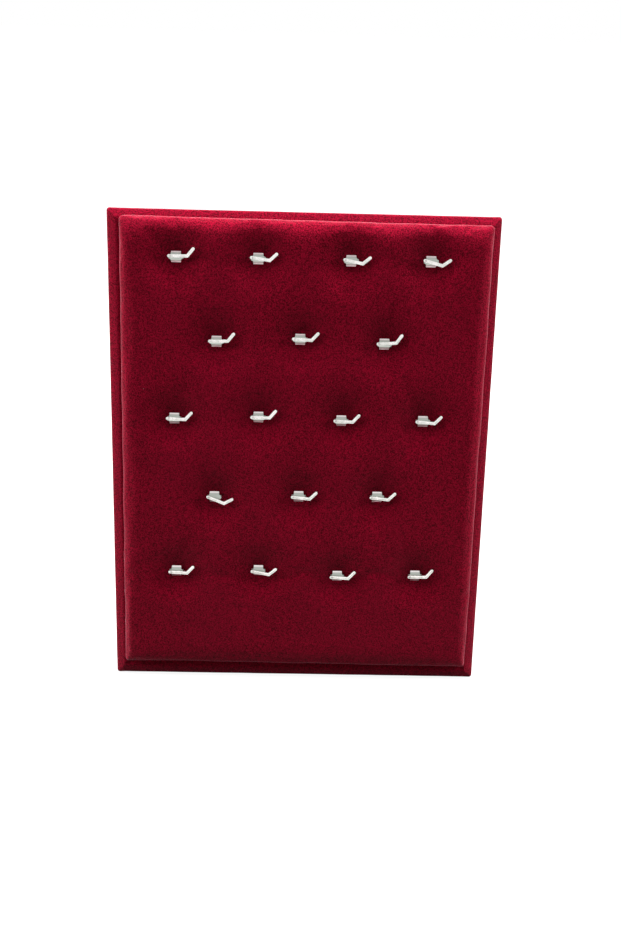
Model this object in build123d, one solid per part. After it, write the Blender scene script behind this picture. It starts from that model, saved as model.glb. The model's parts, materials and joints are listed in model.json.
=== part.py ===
from build123d import *
from math import atan2, cos, pi, radians, sin, tan
import os

os.makedirs("parts", exist_ok=True)

# Board that leans back on its strut
WIDTH = 200.0
HEIGHT = 253.0
LEAN = 15.0
PILE = 0.7
CORE_THICK = 3.0
CORE_CORNER = 2.0
WRAP_EDGE = 0.5
TURN_IN = 18.0
LINING_THICK = 1.0
LINING_GAP = 0.4
PRESSED_FOOT = 0.5

# Padded panel, glued on a little high, to the right and not quite square
PANEL_WIDE = 189.0
PANEL_HIGH = 240.0
PANEL_X = 0.8
PANEL_V = 128.8
PANEL_TURN = -0.25
PANEL_CORNER = 2.5
PANEL_EDGE = 2.2
PANEL_TURN_IN = 14.0
CARD_THICK = 1.5
FOAM_THICK = 2.6

# Sewn-down hollow under each clip
TUFT_RADIUS = 14.0
TUFT_SEAT = 4.3
TUFT_DEPTH = 1.7
TUFT_FOLDS = 12
TUFT_CURVE = [(0.28, 0.24), (0.66, 0.76)]

# Pressed clip base
BASE_LONG = 7.4
NUB_LONG = 0.6
NUB_WIDE = 2.4
EAR_LONG = 5.6
EAR_TIP = 2.85
BASE_FLAT = 1.25
BASE_HIGH = 1.6
SHEET = 0.4
PRONG_WIDE = 1.6
PRONG_THICK = 0.5
PRONG_ROOM = 0.1
CLINCH_LONG = 2.2
CLINCH_THICK = 0.4

# Hook lever, a pressed trough that turns on a rivet
PIVOT_X = -2.7
HEEL = 1.5
REACH = 8.6
TAB_LONG = 5.5
TAB_TURN = 50.0
TROUGH_WIDE = 1.6
TROUGH_HIGH = 1.3
TROUGH_WALL = 0.25
LEVER_LIFT = 0.1
LEVER_LOW = -28.0
LEVER_HIGH = 8.0
LUG_ARM = 2.0
LUG_SIDE = 0.6
LUG_ROOM = 0.02
STUD_RADIUS = 0.3
STUD_SIDES = 8
STUD_ROOM = 0.04
STUD_FLARE = 0.48
STUD_FLARE_HIGH = 0.25

# Easel strut and its hinge
HINGE_V = 165.0
OPEN = 30.0
LEAF = 0.8
LEAF_WIDE = 40.0
LEAF_HIGH = 24.0
KNUCKLE = 2.0
KNUCKLE_SPLIT = 7.0
KNUCKLE_ROOM = 0.2
PIN_RADIUS = 1.0
PIN_ROOM = 0.05
STOP_ROOM = 0.02
STRUT_TOP = 46.0
STRUT_FOOT = 66.0
STRUT_PAPER = 0.2
STRUT_ROOM = 0.4
STRUT_START = 2.6
STRUT_CORNER = 4.0
STRUT_SPARE = 6.0
BRAD_RADIUS = 0.9
BRAD_HEAD = 1.8
BRAD_HEAD_HIGH = 0.6
BRAD_ROOM = 0.05
BRAD_X = 13.0
BRAD_V = 15.0

# Clips on a staggered grid of the panel, the middle row a little above its middle
PITCH_X = PANEL_WIDE / 4.4
PITCH_V = PANEL_HIGH / 5.75
GRID_RISE = 18.7

# Column and row of each clip, how far it was set off the grid, and its lever's angle
SET_CLIPS = [
    (-1.5, 2, -1.0, -1.0, 0.5),
    (-0.5, 2, -2.5, -1.0, -7.5),
    (0.5, 2, 1.5, -1.0, -11.0),
    (1.5, 2, -1.0, -0.5, -15.0),
    (-1.0, 1, -2.0, -1.5, 1.0),
    (0.0, 1, -2.0, 0.5, -3.0),
    (1.0, 1, -1.5, -1.0, 4.0),
    (-1.5, 0, -2.5, -0.5, -2.5),
    (-0.5, 0, -1.5, 1.0, -0.5),
    (0.5, 0, -1.0, 0.0, -2.5),
    (1.5, 0, -1.0, 0.5, -5.0),
    (-1.0, -1, -3.0, -1.0, -21.5),
    (0.0, -1, -1.0, 0.0, -5.5),
    (1.0, -1, -2.0, 0.5, -6.0),
    (-1.5, -2, -2.0, -1.5, -3.0),
    (-0.5, -2, -0.5, -0.5, -10.0),
    (0.5, -2, -0.5, -3.0, -3.0),
    (1.5, -2, -1.0, -2.0, 1.0),
]
CLIPS = [
    (PANEL_X + column * PITCH_X + off_x, PANEL_V + GRID_RISE + row * PITCH_V + off_v, angle)
    for column, row, off_x, off_v, angle in SET_CLIPS
]

# Levels in front of the core's face, and behind it
PANEL_BACK = PILE
CARD_BACK = PANEL_BACK + PILE
FOAM_BACK = CARD_BACK + CARD_THICK
FOAM_TOP = FOAM_BACK + FOAM_THICK
PAD_TOP = FOAM_TOP + PILE
SEAT = PAD_TOP - TUFT_DEPTH
LINING_BACK = -CORE_THICK - LINING_THICK
AXIS_N = LINING_BACK - KNUCKLE

# The board's own frame stands up from the floor
LIFT = (CORE_THICK + PILE) * sin(radians(LEAN)) - PRESSED_FOOT
STAND = Pos(0, 0, LIFT) * Rot(90 - LEAN, 0, 0)
OPENING = Pos(0, HINGE_V, AXIS_N) * Rot(OPEN, 0, 0) * Pos(0, -HINGE_V, -AXIS_N)
ROOM = 400.0


def slab(wide, high, low, top, corner=0.0):
    """A plate in the board's frame, centred on its origin."""
    face = RectangleRounded(wide, high, corner) if corner else Rectangle(wide, high)
    return Pos(0, 0, low) * extrude(face, top - low)


def rod(radius, low, top):
    return Pos(0, 0, low) * extrude(Circle(radius), top - low)


def tube_x(radius, left, right):
    """A round bar along the hinge line."""
    bar = extrude(Plane.YZ * Circle(radius), right - left)
    return Pos(left, HINGE_V, AXIS_N) * bar


def box(x0, x1, v0, v1, n0, n1):
    size = Box(x1 - x0, v1 - v0, n1 - n0)
    return Pos((x0 + x1) / 2, (v0 + v1) / 2, (n0 + n1) / 2) * size


def group(shapes):
    return Compound(children=list(shapes))


nodes = {}


def save(shape, node):
    """Stands a shape of the board's frame up and keeps it under its name."""
    nodes[node] = STAND * shape


# Back board: core, wrapped velvet and lining card
BOARD = Pos(0, HEIGHT / 2, 0)
PANEL = Pos(PANEL_X, PANEL_V, 0) * Rot(0, 0, PANEL_TURN)
core_wide = WIDTH - 2 * PILE
core_high = HEIGHT - 2 * PILE
core = slab(core_wide, core_high, -CORE_THICK, 0, CORE_CORNER)
wrap = slab(WIDTH, HEIGHT, -CORE_THICK - PILE, PILE, CORE_CORNER + PILE)
wrap = chamfer(wrap.faces().sort_by(Axis.Z)[-1].edges(), WRAP_EDGE)
wrap -= core
wrap -= slab(WIDTH - 2 * TURN_IN, HEIGHT - 2 * TURN_IN, -CORE_THICK - 2 * PILE, -CORE_THICK)
lining = slab(
    WIDTH - 2 * (TURN_IN + LINING_GAP),
    HEIGHT - 2 * (TURN_IN + LINING_GAP),
    LINING_BACK,
    -CORE_THICK,
)

# Where the velvet stands on the floor its pile is pressed flat
floor_cut = STAND.inverse() * Pos(0, 0, -ROOM / 2) * Box(ROOM, ROOM, ROOM)
core = BOARD * core
wrap = BOARD * wrap - floor_cut
lining = BOARD * lining

# Brads of the upper hinge leaf, driven through the lining into the core
board_brads = []
for x in (-BRAD_X, BRAD_X):
    shank = rod(BRAD_RADIUS, LINING_BACK - LEAF, -PILE)
    head = rod(BRAD_HEAD, LINING_BACK - LEAF - BRAD_HEAD_HIGH, LINING_BACK - LEAF)
    board_brads.append(Pos(x, HINGE_V + BRAD_V, 0) * (shank + head))

save(core, "back_board")
save(wrap, "board_velvet")
save(lining, "lining_card")

# Panel card with a slot for each prong
prong_x = (BASE_LONG - PRONG_THICK) / 2
card = PANEL * slab(PANEL_WIDE - 2 * PILE, PANEL_HIGH - 2 * PILE, CARD_BACK, FOAM_BACK)
slots = []
for x, v, _ in CLIPS:
    for side in (-1, 1):
        slot = slab(PRONG_THICK + PRONG_ROOM, PRONG_WIDE + PRONG_ROOM, CARD_BACK, FOAM_BACK)
        slots.append(Pos(x + side * prong_x, v, 0) * slot)
card -= slots
save(card, "panel_card")


# Pad: foam and velvet, drawn down into a hollow at each clip
def tuft_tool(low, top, curve=()):
    """The space of one hollow, whose cloth falls in folds from the flat top to the seat."""
    run, rise = TUFT_RADIUS - TUFT_SEAT, top - low
    steps = [(0, 0), *curve, (1, 1)]
    rings = [(TUFT_SEAT + run * out, low + rise * up) for out, up in steps]
    rings.append((TUFT_RADIUS, top + TUFT_DEPTH))
    turns = [2 * pi * fold / TUFT_FOLDS for fold in range(TUFT_FOLDS)]
    outlines = [[Vector(r * cos(a), r * sin(a), n) for a in turns] for r, n in rings]
    faces = [Face(Wire.make_polygon(outline)) for outline in (outlines[0], outlines[-1])]
    for lower, upper in zip(outlines, outlines[1:]):
        for fold in range(TUFT_FOLDS):
            corners = [lower[fold - 1], lower[fold], upper[fold], upper[fold - 1]]
            faces.append(Face(Wire.make_polygon(corners)))
    return Solid(Shell(faces))


tuft = tuft_tool(SEAT, PAD_TOP, TUFT_CURVE)
hollow = tuft_tool(SEAT - PILE, FOAM_TOP)
pad_core = slab(PANEL_WIDE - 2 * PILE, PANEL_HIGH - 2 * PILE, CARD_BACK, FOAM_TOP)
pad_core = chamfer(pad_core.faces().sort_by(Axis.Z)[-1].edges(), PANEL_EDGE - PILE)
skin = slab(PANEL_WIDE, PANEL_HIGH, PANEL_BACK, PAD_TOP)
skin = chamfer(skin.edges().filter_by(Axis.Z), PANEL_CORNER)
skin = fillet(skin.faces().sort_by(Axis.Z)[-1].edges(), PANEL_EDGE)
pad_core = PANEL * pad_core
skin = PANEL * skin
pad_core -= [Pos(x, v, 0) * hollow for x, v, _ in CLIPS]
dips = [Pos(x, v, 0) * tuft for x, v, _ in CLIPS]
window = slab(
    PANEL_WIDE - 2 * PANEL_TURN_IN, PANEL_HIGH - 2 * PANEL_TURN_IN, PANEL_BACK, CARD_BACK
)
skin = skin - dips - pad_core - PANEL * window
foam = pad_core - box(-ROOM, ROOM, -ROOM, ROOM, -ROOM, FOAM_BACK)
save(foam, "pad_foam")
save(skin, "pad_velvet")


# Clip base: a saddle plate with ears bent back onto the pad and two clinched prongs
def stop_window():
    """The opening in the plate whose upper and lower edges stop the lever's lug."""
    half, edges = LUG_SIDE / 2, []
    for angle, side in ((LEVER_LOW, -1), (LEVER_HIGH, 1)):
        turn = radians(angle)
        corner = half * (cos(turn) + abs(sin(turn)))
        edges.append(LUG_ARM * sin(turn) + side * (corner + LUG_ROOM))
    turn = radians(LEVER_LOW)
    left = LUG_ARM * cos(turn) - half * (cos(turn) - sin(turn)) - LUG_ROOM
    return box(left, LUG_ARM + LUG_SIDE, edges[0], edges[1], 0, BASE_HIGH)


def base_solid():
    slope = atan2(BASE_HIGH, EAR_TIP - BASE_FLAT)
    inner = SHEET / sin(slope)
    neck = BASE_FLAT - inner + SHEET * cos(slope) / sin(slope)
    half = [
        (EAR_TIP, 0),
        (BASE_FLAT, BASE_HIGH),
        (-BASE_FLAT, BASE_HIGH),
        (-EAR_TIP, 0),
        (-EAR_TIP + inner, 0),
        (-neck, BASE_HIGH - SHEET),
        (neck, BASE_HIGH - SHEET),
        (EAR_TIP - inner, 0),
    ]
    section = extrude(Plane.YZ * make_face(Polyline(*half, half[0])), BASE_LONG)
    body = Pos(-BASE_LONG / 2, 0, 0) * section
    nub, ear, neck_x = BASE_LONG / 2, EAR_LONG / 2, BASE_LONG / 2 - NUB_LONG
    quarter = [(ear, EAR_TIP), (neck_x, BASE_FLAT), (nub, NUB_WIDE / 2)]
    right = quarter + [(x, -y) for x, y in reversed(quarter)]
    plan = right + [(-x, -y) for x, y in right]
    body &= extrude(make_face(Polyline(*plan, plan[0])), BASE_HIGH)
    back = CARD_BACK - SEAT
    for side in (-1, 1):
        low, high = sorted((side * nub, side * (nub - PRONG_THICK)))
        tip, edge = sorted((side * nub, side * (nub - CLINCH_LONG)))
        half_wide = PRONG_WIDE / 2
        body += box(low, high, -half_wide, half_wide, back - CLINCH_THICK, BASE_HIGH)
        body += box(tip, edge, -half_wide, half_wide, back - CLINCH_THICK, back)
    floor = BASE_HIGH + LEVER_LIFT + TROUGH_WALL + STUD_ROOM
    levels = [
        (STUD_RADIUS, BASE_HIGH - SHEET / 2),
        (STUD_RADIUS, floor),
        (STUD_FLARE, floor + STUD_FLARE_HIGH),
    ]
    stud = loft([Pos(0, 0, n) * RegularPolygon(r, STUD_SIDES) for r, n in levels], ruled=True)
    return body + Pos(PIVOT_X, 0, 0) * stud - Pos(PIVOT_X, 0, 0) * stop_window()


# Lever, drawn about its own pivot
def trough_plan(half):
    """The hook's outline at a given half width: an arm, a turned-up tab and blunt round ends."""
    turn = radians(TAB_TURN)
    inset = TROUGH_WIDE / 2 - half
    mitre = half * tan(turn / 2)
    round_end = [(half * cos(radians(a)), half * sin(radians(a))) for a in (90, 45, 0, -45, -90)]
    reach = TAB_LONG - half - inset
    tip = [(reach + x, y) for x, y in round_end]
    heel = [(-HEEL + inset + half - x, -y) for x, y in round_end]
    bent = [
        (REACH + x * cos(turn) - y * sin(turn), x * sin(turn) + y * cos(turn)) for x, y in tip
    ]
    points = [(REACH - mitre, half), *bent, (REACH + mitre, -half), *heel]
    return make_face(Polyline(*points, points[0]))


def lever_solid():
    foot = BASE_HIGH + LEVER_LIFT
    outer = extrude(trough_plan(TROUGH_WIDE / 2), TROUGH_HIGH)
    inner = extrude(trough_plan(TROUGH_WIDE / 2 - TROUGH_WALL), TROUGH_HIGH)
    body = Pos(0, 0, foot) * (outer - Pos(0, 0, TROUGH_WALL) * inner)
    half = LUG_SIDE / 2
    body += box(LUG_ARM - half, LUG_ARM + half, -half, half, BASE_HIGH - SHEET, foot)
    apothem = STUD_RADIUS + STUD_ROOM
    hole = RegularPolygon(apothem, STUD_SIDES, major_radius=False)
    return body - Pos(0, 0, foot) * extrude(hole, TROUGH_HIGH)


base, lever = base_solid(), lever_solid()
seats = [Pos(x, v, SEAT) for x, v, _ in CLIPS]
save(group(seat * base for seat in seats), "clip_bases")
for number, (seat, (_, _, angle)) in enumerate(zip(seats, CLIPS), 1):
    save(seat * Pos(PIVOT_X, 0, 0) * Rot(0, 0, angle) * lever, f"hook_lever_{number:02d}")

# Hinge: board leaf with its outer knuckles, strut leaf with the middle one and its stop lug
half_leaf = LEAF_WIDE / 2
split = KNUCKLE_SPLIT
inner_split = KNUCKLE_SPLIT - KNUCKLE_ROOM
bore = tube_x(PIN_RADIUS + PIN_ROOM, -half_leaf, half_leaf)
clear_v = KNUCKLE + STRUT_ROOM
board_leaf = box(
    -half_leaf, half_leaf, HINGE_V + clear_v, HINGE_V + LEAF_HIGH, LINING_BACK - LEAF, LINING_BACK
)
for left, right in ((-half_leaf, -split), (split, half_leaf)):
    board_leaf += box(left, right, HINGE_V, HINGE_V + clear_v, LINING_BACK - LEAF, LINING_BACK)
    board_leaf += tube_x(KNUCKLE, left, right)
board_leaf -= bore

rear = LINING_BACK - 2 * KNUCKLE
stop_arm = KNUCKLE - LEAF
lug = (stop_arm * (1 + cos(radians(OPEN))) - STOP_ROOM) / sin(radians(OPEN))
strut_leaf = tube_x(KNUCKLE, -inner_split, inner_split)
strut_leaf += box(
    -inner_split, inner_split, HINGE_V - clear_v, HINGE_V + lug, rear, rear + LEAF
)
strut_leaf += box(
    -half_leaf, half_leaf, HINGE_V - LEAF_HIGH, HINGE_V - clear_v, rear, rear + LEAF
)
strut_leaf -= bore

# Strut: card core with a paper face on each side, cut flat for the floor when open
strut_front = LINING_BACK - STRUT_ROOM
strut_rear = rear + LEAF
top_v = HINGE_V - STRUT_START
low_v = -STRUT_SPARE
outline = [
    (-STRUT_TOP / 2, top_v),
    (STRUT_TOP / 2, top_v),
    (STRUT_FOOT / 2, low_v),
    (-STRUT_FOOT / 2, low_v),
]
shape = make_face(Polyline(*outline, outline[0]))


def strut_layer(back, front):
    layer = Pos(0, 0, back) * extrude(shape, front - back)
    return fillet(layer.edges().filter_by(Axis.Z).sort_by(Axis.Y)[-2:], STRUT_CORNER)


strut_core = strut_layer(strut_rear + STRUT_PAPER, strut_front - STRUT_PAPER)
papers = [
    strut_layer(strut_rear, strut_rear + STRUT_PAPER),
    strut_layer(strut_front - STRUT_PAPER, strut_front),
]
strut_brads = []
for x in (-BRAD_X, BRAD_X):
    shank = rod(BRAD_RADIUS, rear, strut_front)
    head = rod(BRAD_HEAD, rear - BRAD_HEAD_HIGH, rear)
    strut_brads.append(Pos(x, HINGE_V - BRAD_V, 0) * (shank + head))
    strut_leaf -= Pos(x, HINGE_V - BRAD_V, 0) * rod(BRAD_RADIUS + BRAD_ROOM, rear, strut_rear)
    hole = rod(BRAD_RADIUS + BRAD_ROOM, LINING_BACK - LEAF, LINING_BACK)
    board_leaf -= Pos(x, HINGE_V + BRAD_V, 0) * hole

pin = tube_x(PIN_RADIUS, -half_leaf, half_leaf)
save(board_leaf, "hinge_leaf_board")
save(group(board_brads), "hinge_brads_board")
save(pin, "hinge_pin")
save(OPENING * strut_leaf, "hinge_leaf_strut")
save(group(OPENING * brad for brad in strut_brads), "hinge_brads_strut")
save(OPENING * strut_core - floor_cut, "strut_core")
save(group(OPENING * paper - floor_cut for paper in papers), "strut_papers")

# The origin lies under the middle of everything, on the floor
bounds = [shape.bounding_box() for shape in nodes.values()]
front_y = min(bound.min.Y for bound in bounds)
back_y = max(bound.max.Y for bound in bounds)
middle_y = (front_y + back_y) / 2
centre = Pos(0, -middle_y, 0)
print("depth", round(back_y - front_y, 2), "middle", round(middle_y, 4))
for node, shape in nodes.items():
    placed = centre * shape
    placed.label = node
    export_step(placed, f"parts/{node}.step")
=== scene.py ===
import json
import math

import bpy
import numpy as np
from mathutils import Matrix, Vector, noise


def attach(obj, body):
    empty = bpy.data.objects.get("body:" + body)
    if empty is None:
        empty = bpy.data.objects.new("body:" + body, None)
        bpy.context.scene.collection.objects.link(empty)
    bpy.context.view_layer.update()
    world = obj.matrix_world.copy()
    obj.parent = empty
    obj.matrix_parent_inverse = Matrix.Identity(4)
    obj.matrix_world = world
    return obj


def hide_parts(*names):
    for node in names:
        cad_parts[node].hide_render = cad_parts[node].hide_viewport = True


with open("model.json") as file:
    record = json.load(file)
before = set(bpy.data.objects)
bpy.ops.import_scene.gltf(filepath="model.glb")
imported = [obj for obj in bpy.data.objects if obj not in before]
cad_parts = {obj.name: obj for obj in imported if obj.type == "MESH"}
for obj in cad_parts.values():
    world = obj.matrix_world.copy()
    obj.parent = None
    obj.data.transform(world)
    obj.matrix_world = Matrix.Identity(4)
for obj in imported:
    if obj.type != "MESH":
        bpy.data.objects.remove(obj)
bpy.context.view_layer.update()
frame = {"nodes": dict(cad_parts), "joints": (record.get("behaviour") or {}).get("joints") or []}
nodes = frame["nodes"]
scene = bpy.context.scene

# The board's own frame, in mm: x to the right, v up the board, n out of its face
PILE = 0.7
WIDTH, HEIGHT = 200.0, 253.0
BOARD_BACK = -3.0
TURN_IN = 18.0
PANEL_WIDE, PANEL_HIGH = 189.0, 240.0
PANEL_X, PANEL_V = 0.8, 128.8
PANEL_TURN = math.radians(-0.25)
SEAT_N = 4.5
SEAT_RADIUS = 4.5
PIVOT_X = -2.7

swings = [j for j in frame["joints"] if j["name"].endswith("_swing")]
NORMAL = np.array(swings[0]["axis"], float)
NORMAL /= np.linalg.norm(NORMAL)
RIGHT = np.array([1.0, 0.0, 0.0])
AXES = np.stack([RIGHT, np.cross(NORMAL, RIGHT), NORMAL])
core = np.array([v.co for v in nodes["back_board"].data.vertices], float)
ORIGIN = AXES[2] * (core @ AXES[2]).max() + AXES[1] * ((core @ AXES[1]).min() - PILE / 1000)


def to_row(points):
    """Points of the board's frame in mm, in the row frame in metres."""
    return ORIGIN + np.asarray(points, float) / 1000 @ AXES


def to_board(points):
    """Points of the row frame in metres, in the board's frame in mm."""
    return (np.asarray(points, float) - ORIGIN) @ AXES.T * 1000


clips = np.array([to_board(j["pos_m"])[:2] - (PIVOT_X, 0) for j in swings])

# Camera, placed in the board's frame from the corners of the board and pad and from the clips
EYE = (-4.5, 243.9, 508.1)
LOOK = Vector((0.0198, -0.2340, -0.9720))
ACROSS = Vector((0.9996, 0.0243, 0.0146))
LENS = 37.71
look, across = Vector(np.array(LOOK) @ AXES), Vector(np.array(ACROSS) @ AXES)
across = (across - look * across.dot(look) / look.length_squared).normalized()
look.normalize()
turn = Matrix((across, across.cross(look), -look)).transposed().to_4x4()
camera = bpy.data.objects.new("camera", bpy.data.cameras.new("camera"))
scene.collection.objects.link(camera)
camera.matrix_world = Matrix.Translation(Vector(to_row(EYE))) @ turn
camera.data.lens = LENS
camera.data.sensor_width = 36.0
camera.data.clip_start = 0.01
scene.camera = camera
scene.view_settings.view_transform = "Standard"


# Materials
class Value:
    """A shader value that adds, takes away, multiplies and divides as a number does."""

    def __init__(self, graph, socket):
        self.graph, self.socket = graph, socket

    def __add__(self, other):
        return self.graph.math("ADD", self, other)

    def __sub__(self, other):
        return self.graph.math("SUBTRACT", self, other)

    def __rsub__(self, other):
        return self.graph.math("SUBTRACT", other, self)

    def __mul__(self, other):
        return self.graph.math("MULTIPLY", self, other)

    def __truediv__(self, other):
        return self.graph.math("DIVIDE", self, other)

    def __rtruediv__(self, other):
        return self.graph.math("DIVIDE", other, self)

    __radd__, __rmul__ = __add__, __mul__

    def below(self, limit):
        return self.graph.math("LESS_THAN", self, limit)

    def above(self, limit):
        return self.graph.math("GREATER_THAN", self, limit)

    def ramp(self, low, high, start=0.0, end=1.0):
        """Runs smoothly from start to end while the value goes from low to high."""
        inputs = {"Value": self, 1: low, 2: high, 3: start, 4: end}
        return self.graph.node("MapRange", {"interpolation_type": "SMOOTHSTEP"}, inputs)


class Graph:
    """The nodes of one material or of the world."""

    def __init__(self, owner):
        owner.use_nodes = True
        self.tree = owner.node_tree
        self.tree.nodes.clear()

    def node(self, kind, settings=None, inputs=None, out=0):
        made = self.tree.nodes.new("ShaderNode" + kind)
        for name, value in (settings or {}).items():
            setattr(made, name, value)
        for name, value in (inputs or {}).items():
            if isinstance(value, Value):
                self.tree.links.new(value.socket, made.inputs[name])
            else:
                made.inputs[name].default_value = value
        return Value(self, made.outputs[out]) if made.outputs else made

    def math(self, operation, *values):
        return self.node("Math", {"operation": operation}, dict(enumerate(values)))

    def place(self):
        return self.node("TexCoord", out="Object")

    def scaled(self, place, scale):
        return self.node("VectorMath", {"operation": "MULTIPLY"}, {0: place, 1: scale})

    def noise(self, place, per_metre, detail, rough, warp=0.0):
        inputs = {
            "Vector": place,
            "Scale": per_metre,
            "Detail": detail,
            "Roughness": rough,
            "Distortion": warp,
        }
        return self.node("TexNoise", None, inputs)

    def cells(self, place, per_metre, out="Distance"):
        return self.node("TexVoronoi", None, {"Vector": place, "Scale": per_metre}, out)

    def stored(self, name):
        """A share that the mesh keeps at each of its points."""
        return self.node("Attribute", {"attribute_name": name}, None, "Fac")

    def mix(self, factor, first, second):
        """A mix of two colours: sockets 0, 6 and 7 and output 2 are the node's colour ones."""
        return self.node("Mix", {"data_type": "RGBA"}, {0: factor, 6: first, 7: second}, 2)

    def bump(self, height, depth, strength):
        return self.node("Bump", None, {"Height": height, "Distance": depth, "Strength": strength})

    def finish(self, shader):
        self.node("OutputMaterial", None, {"Surface": shader})


def colour(red, green, blue):
    return (red, green, blue, 1.0)


def material(name, look, shader):
    """A material whose nodes look() makes; shader holds the values that are the same all over."""
    made = bpy.data.materials.new(name)
    graph = Graph(made)
    varied = look(graph)
    graph.finish(graph.node("BsdfPrincipled", None, {**shader, **varied}))
    return made


# Velvet, in features per metre
TUFTS, PILE_ENDS, DRIFTS, LINT = 1150, 2500, 34, 52
LINT_SIZE, LINT_LEFT_OUT = 0.014, 0.66


def velvet_look(g):
    """Speckled pile with brushed drifts, painted shade in the hollows at the clips, and some lint.
    """
    place = g.place()
    tufts = g.noise(place, TUFTS, 2, 0.7)
    pile = g.noise(place, PILE_ENDS, 1, 0.6)
    brushed = g.noise(g.scaled(place, (1.0, 1.0, 0.6)), DRIFTS, 3, 0.55, 0.4)
    speckle = (tufts * 0.5 + pile * 0.5).ramp(0.40, 0.60)
    tone = g.mix(speckle, colour(0.052, 0.0001, 0.0030), colour(0.262, 0.0014, 0.0168))
    tone = g.mix(brushed.ramp(0.3, 0.7) * 0.15, tone, colour(0.175, 0.0025, 0.0160))
    # Painted shade, darkest in the hollows above the clips
    tone = g.mix(g.stored("painted_hollow_shade") * 0.4, tone, colour(0.040, 0.0004, 0.0024))
    bits = g.cells(place, LINT).below(LINT_SIZE)
    kept = g.node("SeparateColor", None, {"Color": g.cells(place, LINT, "Color")})
    lint = bits * kept.above(LINT_LEFT_OUT) * 0.45
    return {
        "Base Color": g.mix(lint, tone, colour(0.45, 0.20, 0.22)),
        "Roughness": pile.ramp(0.3, 0.7, 0.95, 0.8),
        "Normal": g.bump(tufts * 0.55 + pile * 0.45, 0.0006, 0.7),
    }


def nickel_look(dark, light):
    """Nickel plate whose colour drifts between two tones, with small scratches."""

    def nodes_of(g):
        place = g.place()
        cloud = g.noise(place, 300, 3, 0.6)
        wave = g.noise(place, 320, 1, 0.5)
        scratch = g.noise(g.scaled(place, (1.0, 6.0, 6.0)), 2600, 2, 0.7)
        return {
            "Base Color": g.mix(cloud.ramp(0.35, 0.7), dark, light),
            "Roughness": cloud.ramp(0.3, 0.75, 0.20, 0.30) + scratch.ramp(0.6, 0.8) * 0.10,
            "Normal": g.bump(wave, 0.0001, 0.12),
        }

    return nodes_of


def plate_look(g):
    """Nickel plating with painted shade and a dull painted reflection on the flat of the clip, and
    painted highlights on its ears and stud.
    """
    look = nickel_look(colour(0.90, 0.85, 0.84), colour(0.99, 0.95, 0.94))(g)
    # Grey-green painted shade and dull painted reflection for the flat of the plate
    painted_shade_grey = colour(0.42, 0.45, 0.41)
    look["Base Color"] = g.mix(g.stored("painted_plate_shine"), painted_shade_grey, look["Base Color"])
    look["Roughness"] = look["Roughness"] + 0.08
    return look


def steel_look(g):
    """Zinc-plated steel, brushed along x and stained in clouds."""
    place = g.place()
    brushed = g.noise(g.scaled(place, (0.06, 1.0, 1.0)), 2400, 3, 0.6)
    stain = g.noise(place, 120, 4, 0.6).ramp(0.35, 0.7)
    return {
        "Base Color": g.mix(stain, colour(0.30, 0.30, 0.29), colour(0.44, 0.44, 0.43)),
        "Roughness": brushed.ramp(0.2, 0.8, 0.30, 0.48),
        "Normal": g.bump(brushed, 0.00006, 0.5),
    }


def brass_look(g):
    """Brass wash, browned in spots."""
    stain = g.noise(g.place(), 500, 3, 0.6)
    tarnish = stain.ramp(0.3, 0.75)
    return {
        "Base Color": g.mix(tarnish, colour(0.46, 0.33, 0.13), colour(0.74, 0.58, 0.28)),
        "Roughness": stain.ramp(0.3, 0.7, 0.38, 0.24),
        "Normal": g.bump(stain, 0.00005, 0.4),
    }


def card_look(g):
    """Grey card with fibres, and with layers that show at its cut edges."""
    place = g.place()
    fibre = g.noise(place, 900, 4, 0.7)
    layer = g.noise(g.scaled(place, (0.05, 1.0, 0.05)), 3500, 2, 0.5)
    fleck = (fibre * 0.6 + layer * 0.4).ramp(0.3, 0.7)
    return {
        "Base Color": g.mix(fleck, colour(0.30, 0.275, 0.24), colour(0.46, 0.43, 0.38)),
        "Roughness": fibre.ramp(0.3, 0.7, 0.92, 0.8),
        "Normal": g.bump(fibre, 0.0002, 0.5),
    }


def paper_look(g):
    """Black covering paper with a pressed grain, worn paler in clouds."""
    place = g.place()
    grain = g.cells(place, 1100)
    wear_and_painted_shine = g.noise(place, 60, 4, 0.6)
    fine = g.noise(place, 3000, 2, 0.5)
    pale = wear_and_painted_shine.ramp(0.4, 0.8)
    return {
        "Base Color": g.mix(pale, colour(0.020, 0.019, 0.020), colour(0.042, 0.040, 0.042)),
        "Roughness": (wear_and_painted_shine * 0.5 + fine * 0.5).ramp(0.3, 0.7, 0.62, 0.45),
        "Normal": g.bump(grain, 0.0003, 0.55),
    }


def foam_look(g):
    pores = g.cells(g.place(), 1300)
    return {
        "Base Color": g.mix(pores, colour(0.6, 0.57, 0.48), colour(0.88, 0.86, 0.8)),
        "Roughness": pores.ramp(0.0, 1.0, 0.95, 0.8),
        "Normal": g.bump(pores, 0.0004, 0.6),
    }


VELVET = {
    "Specular IOR Level": 0.06,
    "Sheen Weight": 0.45,
    "Sheen Roughness": 0.38,
    "Sheen Tint": colour(1.0, 0.45, 0.53),
}
METAL = {"Metallic": 1.0}
velvet = material("velvet", velvet_look, VELVET)
lever_tones = colour(0.78, 0.78, 0.74), colour(0.99, 0.96, 0.94)
nickel = material("nickel_lever", nickel_look(*lever_tones), METAL)
plate = material("nickel_plate", plate_look, METAL)
steel = material("hinge_steel", steel_look, METAL)
brass = material("brad_brass", brass_look, METAL)
card = material("greyboard", card_look, {"Specular IOR Level": 0.25})
paper = material("lining_paper", paper_look, {"Specular IOR Level": 0.4})
foam = material("foam", foam_look, {"Specular IOR Level": 0.2})

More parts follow.
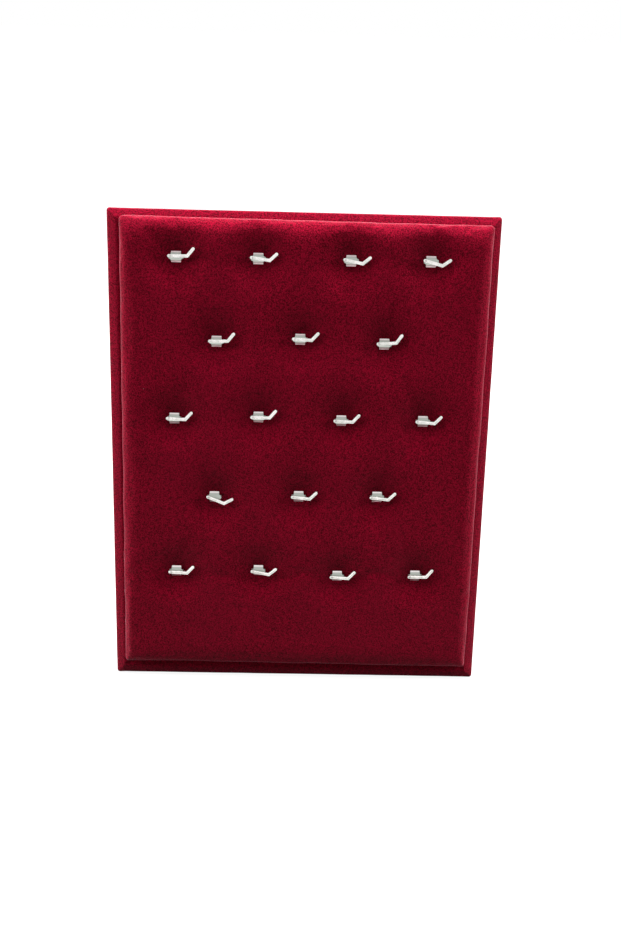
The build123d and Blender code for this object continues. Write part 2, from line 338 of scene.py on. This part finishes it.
NODE_MATERIALS = {
    "back_board": card,
    "panel_card": card,
    "strut_core": card,
    "board_velvet": velvet,
    "pad_velvet": velvet,
    "pad_foam": foam,
    "lining_card": paper,
    "strut_papers": paper,
    "clip_bases": plate,
    "hinge_leaf_board": steel,
    "hinge_leaf_strut": steel,
    "hinge_pin": steel,
    "hinge_brads_board": brass,
    "hinge_brads_strut": brass,
}
for name, node in nodes.items():
    node.data.materials.clear()
    node.data.materials.append(NODE_MATERIALS.get(name, nickel))


# Softened edges on the pieces that keep their built shape, each with its width in mm
LEVER_EDGE = 0.05
EDGES = {
    "lining_card": 0.3,
    "strut_core": 0.15,
    "strut_papers": 0.06,
    "hinge_leaf_board": 0.15,
    "hinge_leaf_strut": 0.15,
    "hinge_brads_board": 0.2,
    "hinge_brads_strut": 0.2,
    "hinge_pin": 0.15,
}


def modifier(owner, name, kind, **settings):
    made = owner.modifiers.new(name, kind)
    for key, value in settings.items():
        setattr(made, key, value)
    return made


def bevel(owner, width, degrees):
    """Rounds the edges sharper than an angle, to a width in mm."""
    modifier(
        owner,
        "bevel",
        "BEVEL",
        width=width / 1000,
        segments=2,
        limit_method="ANGLE",
        angle_limit=math.radians(degrees),
    )


def smooth_group():
    group = bpy.data.node_groups.new("shade_smooth", "GeometryNodeTree")
    for way in ("INPUT", "OUTPUT"):
        group.interface.new_socket("Geometry", in_out=way, socket_type="NodeSocketGeometry")
    start = group.nodes.new("NodeGroupInput")
    smooth = group.nodes.new("GeometryNodeSetShadeSmooth")
    end = group.nodes.new("NodeGroupOutput")
    group.links.new(start.outputs[0], smooth.inputs[0])
    group.links.new(smooth.outputs[0], end.inputs[0])
    return group


smooth_shading = smooth_group()
for name, node in nodes.items():
    width = LEVER_EDGE if name.startswith("hook_lever") else EDGES.get(name)
    if width:
        modifier(node, "weld", "WELD", merge_threshold=1e-6)
        bevel(node, width, 25)
        modifier(node, "smooth", "NODES", node_group=smooth_shading)
        modifier(node, "weighted", "WEIGHTED_NORMAL", weight=90)


# Meshes made in the board's frame
def piece(name, points, faces, look):
    mesh = bpy.data.meshes.new(name)
    mesh.from_pydata([tuple(p) for p in to_row(points)], [], faces)
    mesh.polygons.foreach_set("use_smooth", [True] * len(mesh.polygons))
    mesh.materials.append(look)
    made = bpy.data.objects.new(name, mesh)
    scene.collection.objects.link(made)
    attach(made, "board")
    return made


def store(made, name, values):
    """Keeps a share at each point of a mesh, for its material."""
    made.data.attributes.new(name, "FLOAT", "POINT").data.foreach_set("value", values)


def grid_faces(rows, columns):
    """Quads of a grid of points kept row by row."""
    first = np.arange(rows - 1)[:, None] * columns + np.arange(columns - 1)
    first = first.ravel()
    return np.stack([first, first + 1, first + columns + 1, first + columns], 1).tolist()


def tube_faces(rings, count, first=0):
    """Quads between closed rings of points kept ring by ring."""
    faces = []
    for ring in range(rings - 1):
        start = first + ring * count
        for k in range(count):
            a, b = start + k, start + (k + 1) % count
            faces.append([a, b, b + count, a + count])
    return faces


@np.vectorize
def ripple(x, v, size, seed):
    """Smooth unevenness of the cloth between about -1 and 1."""
    return noise.noise(Vector((x / size, v / size, seed)))


# Padded panel: one closed velvet form, sewn down at every clip
PAD_TOP = 7.2
PAD_BACK = 0.75
SPACING = 1.5
EDGE_ROUND, EDGE_STEPS = 2.0, 6
FOOT_ROUND, FOOT_STEPS = 1.0, 5
SIDE_SWELL = 0.12
EDGE_WAVE = 0.55

# How far the top slopes down towards the pad's sides, its upper end and its lower end
SIDE_SLOPE, SIDE_REACH = 1.0, 8.0
UPPER_SLOPE, LOWER_SLOPE, END_REACH = 2.7, 1.0, 16.0
CORNER_SHARE = 2.5

# Hollows at the clips, with folds in a ring round each, and room for the levers to turn
HOLLOW_RADIUS = 24.0
CREST = 0.30
FOLD_RING, FOLD_WIDE, FOLD_HIGH = 8.5, 4.0, 0.05
SEAT_SINK = 0.06
LEVER_ROOM = 6.0
LEVER_REACH = 10.8

# Cloth simulation, on every second point and ten times as large, its result kept to a cap in mm
CLOTH_EVERY = 2
CLOTH_SCALE = 0.01
CLOTH_STEPS = 24
CLOTH_CAP = 0.6
CLOTH = {
    "quality": 6,
    "mass": 0.3,
    "tension_stiffness": 14,
    "compression_stiffness": 14,
    "shear_stiffness": 6,
    "bending_stiffness": 0.6,
    "vertex_group_mass": "held",
    "pin_stiffness": 1.0,
    "shrink_min": -0.006,
    "use_pressure": True,
    "uniform_pressure_force": 5.0,
}


def edge_profile():
    """How far out and down the cloth goes from where the flat top ends, step by step."""
    steps = [
        (EDGE_ROUND * math.sin(a), EDGE_ROUND * (1 - math.cos(a)))
        for a in np.linspace(0, math.pi / 2, EDGE_STEPS + 1)[1:]
    ]
    low = PAD_TOP - PAD_BACK
    for share in (0.35, 0.75):
        down = EDGE_ROUND + (low - EDGE_ROUND - FOOT_ROUND) * share
        steps.append((EDGE_ROUND + SIDE_SWELL * math.sin(math.pi * share), down))
    for a in np.linspace(0, math.pi / 2, FOOT_STEPS):
        out = EDGE_ROUND - FOOT_ROUND * (1 - math.cos(a))
        steps.append((out, low - FOOT_ROUND * (1 - math.sin(a))))
    return np.array(steps)


def hollow(distance):
    """Share of the full depth at a distance from a clip's middle."""
    t = np.clip((distance - SEAT_RADIUS) / (HOLLOW_RADIUS - SEAT_RADIUS), 0, 1)
    return (1 - t) ** 2.2 * (1 + 0.35 * t)


def pad_lift(x, v):
    """The cloth's height over the pad's plain top, below it in the hollows."""
    lift = ripple(x, v, 26.0, 3.1) * CREST
    kept = np.ones_like(x)
    fold = np.zeros_like(x)
    for number, (cx, cv) in enumerate(clips):
        dx, dv = x - cx, v - cv
        distance = np.hypot(dx, dv * 1.04)
        kept *= 1 - hollow(distance)
        ring = np.exp(-(((distance - FOLD_RING) / FOLD_WIDE) ** 2))
        count = 5 + number % 3
        fold += FOLD_HIGH * ring * np.sin(count * np.arctan2(dv, dx) + 1.7 * number)
    depth = PAD_TOP - SEAT_N + SEAT_SINK
    return lift * kept - depth * (1 - kept) + fold * kept


def grid_line(half, steps):
    """Places along one way of the pad, and each one's step down the edge, minus on one side."""
    inner = np.linspace(-half, half, int(round(2 * half / SPACING)) + 1)
    place = np.concatenate([np.full(len(steps), -half), inner, np.full(len(steps), half)])
    return place, np.concatenate([-steps[::-1], np.zeros(len(inner), int), steps])


def pad_grid():
    """The pad's points as sewn: place, height, step down the edge, way out and share of height."""
    profile = edge_profile()
    steps = np.arange(1, len(profile) + 1)
    px, sx = grid_line(PANEL_WIDE / 2 - EDGE_ROUND, steps)
    pv, sv = grid_line(PANEL_HIGH / 2 - EDGE_ROUND, steps)
    x, v = np.meshgrid(px, pv)
    step_x, step_v = np.meshgrid(sx, sv)
    ring = np.maximum(abs(step_x), abs(step_v))
    length = np.hypot(step_x, step_v)
    length[length == 0] = 1
    out = np.concatenate([[0], profile[:, 0]])[ring]
    down = np.concatenate([[0], profile[:, 1]])[ring]
    x, v = x + out * step_x / length, v + out * step_v / length
    wide = np.cos(PANEL_TURN) * x - np.sin(PANEL_TURN) * v + PANEL_X
    high = np.sin(PANEL_TURN) * x + np.cos(PANEL_TURN) * v + PANEL_V
    sides = SIDE_SLOPE * np.clip(1 - (PANEL_WIDE / 2 - abs(x)) / SIDE_REACH, 0, 1) ** 3
    slope = np.where(v > 0, UPPER_SLOPE, LOWER_SLOPE)
    ends = slope * np.clip(1 - (PANEL_HIGH / 2 - abs(v)) / END_REACH, 0, 1) ** 2.8
    lift = pad_lift(wide, high) - (sides + ends - sides * ends / CORNER_SHARE)
    upper = np.clip(1 - down / (PAD_TOP - PAD_BACK), 0, 1)
    height = PAD_TOP - down + lift * upper
    return wide, high, height, ring, step_x / length, step_v / length, upper


def settle(wide, high, height, held):
    """Lets the stretched cloth swell between its stitches in a cloth simulation."""
    kept = [np.unique(np.append(np.arange(0, n, CLOTH_EVERY), n - 1)) for n in wide.shape]
    rows, columns = kept
    pick = np.ix_(rows, columns)
    start = np.stack([wide[pick], high[pick], height[pick]], -1).reshape(-1, 3)
    mesh = bpy.data.meshes.new("cloth_trial")
    places = [tuple(p) for p in start * CLOTH_SCALE]
    mesh.from_pydata(places, [], grid_faces(len(rows), len(columns)))
    trial = bpy.data.objects.new("cloth_trial", mesh)
    scene.collection.objects.link(trial)
    pins = trial.vertex_groups.new(name="held")
    for index, weight in enumerate(held[pick].ravel()):
        if weight > 0:
            pins.add([index], float(weight), "REPLACE")
    cloth = modifier(trial, "cloth", "CLOTH")
    for key, value in CLOTH.items():
        setattr(cloth.settings, key, value)
    cloth.settings.effector_weights.gravity = 0.0
    cloth.collision_settings.use_collision = False
    cloth.point_cache.frame_start, cloth.point_cache.frame_end = 1, CLOTH_STEPS
    for step in range(1, CLOTH_STEPS + 1):
        scene.frame_set(step)
    shape = trial.evaluated_get(bpy.context.evaluated_depsgraph_get())
    end = np.zeros(len(shape.data.vertices) * 3)
    shape.data.vertices.foreach_get("co", end)
    moved = (end.reshape(-1, 3) / CLOTH_SCALE - start).reshape(len(rows), len(columns), 3)
    bpy.data.objects.remove(trial)
    scene.frame_set(1)
    moved = CLOTH_CAP * np.tanh(moved / CLOTH_CAP)
    every_row, every_column = (np.arange(n) for n in wide.shape)
    full = np.zeros(wide.shape + (3,))
    for axis in range(3):
        wider = np.stack([np.interp(every_column, columns, line) for line in moved[..., axis]])
        for column in every_column:
            full[:, column, axis] = np.interp(every_row, rows, wider[:, column])
    return full


def make_pad():
    wide, high, height, ring, out_x, out_v, upper = pad_grid()
    near = np.min([np.hypot(wide - cx, high - cv) for cx, cv in clips], axis=0)
    held = ((near < SEAT_RADIUS + 0.6) | (ring > EDGE_STEPS)).astype(float)
    moved = settle(wide, high, height, held)
    free = np.clip((near - SEAT_RADIUS - 0.5) / 11.0, 0, 1) * upper
    wide, high = wide + moved[..., 0] * free, high + moved[..., 1] * free
    height = height + moved[..., 2] * free
    room = LEVER_ROOM + 2.0 * np.clip((near - LEVER_REACH) / 6.0, 0, 1)
    height = np.minimum(height, room)
    edge = np.clip(ring / EDGE_STEPS, 0, 1) * upper**0.5
    wave = ripple(wide, high, 17.0, 8.2) * EDGE_WAVE * edge
    wide, high = wide + out_x * wave, high + out_v * wave
    points = np.stack([wide, high, height], -1).reshape(-1, 3)
    faces = grid_faces(*wide.shape)
    index = np.arange(wide.size).reshape(wide.shape)
    rim = np.concatenate([index[0], index[1:, -1], index[-1, -2::-1], index[-2:0:-1, 0]])
    faces.append(rim[::-1].tolist())
    pad = piece("padded_panel", points, faces, velvet)
    # Painted shade: the velvet is darkened in each hollow, most of all above each clip, as if lit
    # from above
    toward = np.hypot(wide[..., None] - clips[:, 0], high[..., None] - clips[:, 1]).argmin(-1)
    above = (high - clips[toward, 1]) / np.maximum(near, 1.0)
    store(pad, "painted_hollow_shade", (hollow(near) ** 1.2 * (0.5 + 0.5 * above)).ravel())
    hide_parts("pad_velvet", "pad_foam")


make_pad()

# Back board's velvet: one sheet round the edges, its turn-ins mitred at the back
PILE_SIDE = 0.15
WRAP_BACK = BOARD_BACK - PILE
WRAP_CORNER = 1.6
BACK_ROUND = 1.15
CORNER_STEPS, SIDE_STEPS = 7, 64
UNEVEN, PULLED_IN = 0.10, 0.08

# From under the pad to the edge: how far in from the outline, and how high
WRAP_FRONT = [
    (14.0, PILE),
    (9.0, PILE),
    (7.0, 1.6),
    (5.6, 2.05),
    (4.6, 1.92),
    (3.4, 1.45),
    (2.2, 0.93),
    (1.3, 0.5),
    (0.7, 0.2),
    (0.3, -0.1),
    (0.08, -0.45),
    (0.0, -0.9),
]


def ring_points(inset, corner, n):
    """A rounded rectangle of the board's outline, drawn in by inset."""
    half_x, half_v = WIDTH / 2 + PILE_SIDE - inset, HEIGHT / 2 - inset
    corner = max(corner, 0.05)
    points = []
    starts = [(1, 1, 0), (-1, 1, 90), (-1, -1, 180), (1, -1, 270)]
    for number, (sx, sv, first) in enumerate(starts):
        cx, cv = sx * (half_x - corner), sv * (half_v - corner)
        for a in np.radians(np.linspace(first, first + 90, CORNER_STEPS)):
            points.append((cx + corner * math.cos(a), cv + corner * math.sin(a)))
        nx, nv, following = starts[(number + 1) % 4]
        angle = math.radians(following)
        end = (
            nx * (half_x - corner) + corner * math.cos(angle),
            nv * (half_v - corner) + corner * math.sin(angle),
        )
        begin = points[-1]
        for share in np.linspace(0, 1, SIDE_STEPS + 1)[1:-1]:
            points.append(tuple(np.array(begin) * (1 - share) + np.array(end) * share))
    points = np.array(points)
    return np.column_stack([points[:, 0], points[:, 1] + HEIGHT / 2, np.full(len(points), n)])


def make_board_velvet():
    levels = list(WRAP_FRONT)
    for a in np.radians(np.linspace(90, 0, 6)):
        levels.append((BACK_ROUND * (1 - math.sin(a)), WRAP_BACK + BACK_ROUND * (1 - math.cos(a))))
    levels += [(inset, WRAP_BACK) for inset in (4.0, 9.0, 14.0, TURN_IN - 0.3)]
    levels += [(TURN_IN, WRAP_BACK + 0.2), (TURN_IN, BOARD_BACK)]
    rings = [ring_points(inset, WRAP_CORNER - inset, n) for inset, n in levels]
    count = len(rings[0])
    points = np.concatenate(rings)
    x, v, n = points.T
    wave = ripple(x, v, 13.0, 5.0 + n)
    points[:, 2] += UNEVEN * wave * np.where(n > 0, 1.0, 0.5)
    # Along its edges the cloth is pulled in a little, unevenly
    from_side = WIDTH / 2 - abs(x)
    from_end = HEIGHT / 2 - abs(v - HEIGHT / 2)
    pull = PULLED_IN * (1 + wave) * (np.minimum(from_side, from_end) < 0.6)
    points[:, 0] -= pull * np.sign(x) * (from_side < 1)
    points[:, 1] -= pull * np.sign(v - HEIGHT / 2) * (from_side > 2)
    faces = [list(range(count))]
    faces += [[a, d, c, b] for a, b, c, d in tube_faces(len(rings), count)]
    # Where the board stands, its pile is pressed flat on the floor
    row = to_row(points)
    row[:, 2] = np.maximum(row[:, 2], 0.0)
    sheet = piece("board_velvet_wrap", to_board(row), faces, velvet)
    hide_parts("board_velvet")


make_board_velvet()

# Clip plates: thin pressed sheet that rolls over into an ear above and below
PLATE_THICK = 0.4
PLATE_TOP = 1.6
ROLL = 1.1
EAR_REACH, EAR_TIP = 2.85, 0.06
ALONG = (-1.0, -0.93, -0.6, -0.2, 0.2, 0.6, 0.93, 1.0)
# How far up or down from the plate's middle its ears take the painted highlight, in mm
PAINTED_SHINE_FROM = 1.9

# How far the plates ride below the levers' line, at these heights up the board
DROP_HEIGHTS, PLATE_DROP = (60, 220), (0.0, 0.4)

# Radius and height of the stud, and height, reach and half width of a prong, level by level
STUD_SIDES = 10
STUD = ((0.3, 1.5), (0.3, 2.0), (0.46, 2.2), (0.40, 2.28), (0.18, 2.31))
PRONG = ((1.5, 3.68, 0.76), (0.9, 3.74, 0.8), (-1.6, 3.7, 0.8))
PRONG_THICK = 0.4


def plate_rows():
    """From the plate's middle to an ear's tip: how far up, how high and half how long it is."""
    rows = [(0.0, PLATE_TOP, 3.7), (0.35, PLATE_TOP, 3.7), (0.7, PLATE_TOP, 3.62)]
    for degrees, long in ((12, 3.45), (24, 2.95), (36, 2.7), (46, 2.62)):
        a = math.radians(degrees)
        rows.append((0.72 + ROLL * math.sin(a), PLATE_TOP - ROLL * (1 - math.cos(a)), long))
    root_v, root_n, root_long = rows[-1]
    for share, blunt in ((0.33, 0), (0.66, 0), (0.92, 0), (1.0, 0.25)):
        v = root_v + (EAR_REACH - root_v) * share
        n = root_n * (1 - share) + EAR_TIP * share
        rows.append((v, n, root_long - 0.12 * share - blunt))
    return rows


def plate_form():
    half = plate_rows()
    rows = [(-v, n, long) for v, n, long in half[:0:-1]] + half
    points = [(share * long, v, n) for v, n, long in rows for share in ALONG]
    return np.array(points), grid_faces(len(rows), len(ALONG))


def stud_form():
    turns = np.arange(STUD_SIDES) * 2 * math.pi / STUD_SIDES
    points = [(r * math.cos(a), r * math.sin(a), n) for r, n in STUD for a in turns]
    faces = tube_faces(len(STUD), STUD_SIDES)
    faces.append(list(range(len(points) - STUD_SIDES, len(points))))
    return np.array(points) + (PIVOT_X, 0, 0), faces


def prong_form():
    points, faces = [], []
    for side in (-1, 1):
        faces += [face[::side] for face in tube_faces(len(PRONG), 4, len(points))]
        for n, reach, half in PRONG:
            for v, back in ((-half, 0), (half, 0), (half, PRONG_THICK), (-half, PRONG_THICK)):
                points.append((side * (reach - back), v, n))
    return np.array(points), faces


def make_plates():
    sheet, sheet_faces = plate_form()
    stud, stud_faces = stud_form()
    prongs, prong_faces = prong_form()
    points, sheets, solids = [], [], []

    def add(form, faces, place, kept):
        kept += [[len(points) + i for i in face] for face in faces]
        points.extend(form + place)

    for cx, cv in clips:
        place = np.array([cx, cv, SEAT_N])
        lower = place - (0, np.interp(cv, DROP_HEIGHTS, PLATE_DROP), 0)
        add(sheet, sheet_faces, lower, sheets)
        add(stud, stud_faces, place, solids)
        add(prongs, prong_faces, lower, solids)
    made = piece("clip_plates", np.array(points), sheets + solids, plate)
    group = made.vertex_groups.new(name="sheet")
    group.add(sorted({i for face in sheets for i in face}), 1.0, "REPLACE")
    thick = PLATE_THICK / 1000
    modifier(made, "sheet", "SOLIDIFY", thickness=thick, offset=-1.0, vertex_group="sheet")
    bevel(made, 0.06, 40)
    # Painted highlight on the ears and stud, painted shade on the flat between them
    wear_and_painted_shine = np.clip((abs(sheet[:, 1]) - PAINTED_SHINE_FROM) / 0.5, 0, 1)
    one = np.concatenate([wear_and_painted_shine, np.ones(len(stud) + len(prongs))])
    store(made, "painted_plate_shine", np.tile(one, len(clips)))
    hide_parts("clip_bases")


make_plates()


# Surroundings
def shown(g):
    """1 for what the camera, a reflection or glass sees, and 0 for light on the object."""
    seen = g.node("LightPath", out="Is Camera Ray")
    for name in ("Is Glossy Ray", "Is Transmission Ray"):
        seen = g.math("MAXIMUM", seen, g.node("LightPath", out=name))
    return seen


def make_world():
    world = bpy.data.worlds.new("studio")
    scene.world = world
    g = Graph(world)
    strength = shown(g) * 0.85 + 0.15
    light = g.node("Background", None, {"Color": colour(1.0, 1.0, 1.0), "Strength": strength})
    g.node("OutputWorld", None, {"Surface": light})


def floor_look():
    """Pale paper that keeps the object's shadow and runs out to white."""
    made = bpy.data.materials.new("floor_paper")
    g = Graph(made)
    place = g.place()
    grain = g.noise(place, 400, 3, 0.6)
    far = g.node("VectorMath", {"operation": "LENGTH"}, {0: place}, "Value").ramp(0.25, 0.9)
    tone = g.mix(grain, colour(0.15, 0.15, 0.15), colour(0.18, 0.18, 0.18))
    plain = g.node("BsdfDiffuse", None, {"Color": tone})
    white = g.mix(far, colour(0.90, 0.90, 0.90), colour(1.0, 1.0, 1.0))
    glow = g.node("Emission", None, {"Color": white, "Strength": shown(g)})
    g.finish(g.node("AddShader", None, {0: plain, 1: glow}))
    return made


def make_floor(half):
    mesh = bpy.data.meshes.new("floor")
    corners = [(-half, -half, 0), (half, -half, 0), (half, half, 0), (-half, half, 0)]
    mesh.from_pydata(corners, [], [(0, 1, 2, 3)])
    mesh.materials.append(floor_look())
    floor = bpy.data.objects.new("floor", mesh)
    scene.collection.objects.link(floor)


# Lamps: place, aim, width and height in metres, and watts
LAMPS = {
    "key": ((-0.12, -0.16, 1.08), (0.0, 0.0, 0.12), (0.50, 0.30), 5.1),
    "top": ((-0.02, 0.30, 1.12), (0.0, 0.0, 0.14), (0.60, 0.18), 38.0),
    "left": ((-0.85, 0.04, 0.42), (0.0, 0.0, 0.12), (0.40, 0.30), 13.0),
    "right": ((0.85, 0.04, 0.42), (0.0, 0.0, 0.12), (0.40, 0.30), 12.5),
    "rear": ((0.35, 0.80, 0.60), (0.0, 0.0, 0.10), (0.60, 0.60), 2.0),
}


def lamp(name, place, aim, size, watts):
    made = bpy.data.objects.new(name, bpy.data.lights.new(name, "AREA"))
    made.data.shape = "RECTANGLE"
    made.data.size, made.data.size_y = size
    made.data.energy = watts
    made.location = place
    made.rotation_euler = (Vector(aim) - Vector(place)).to_track_quat("-Z", "Y").to_euler()
    made.visible_glossy = False
    scene.collection.objects.link(made)


make_world()
make_floor(4.0)
for name, values in LAMPS.items():
    lamp(name, *values)
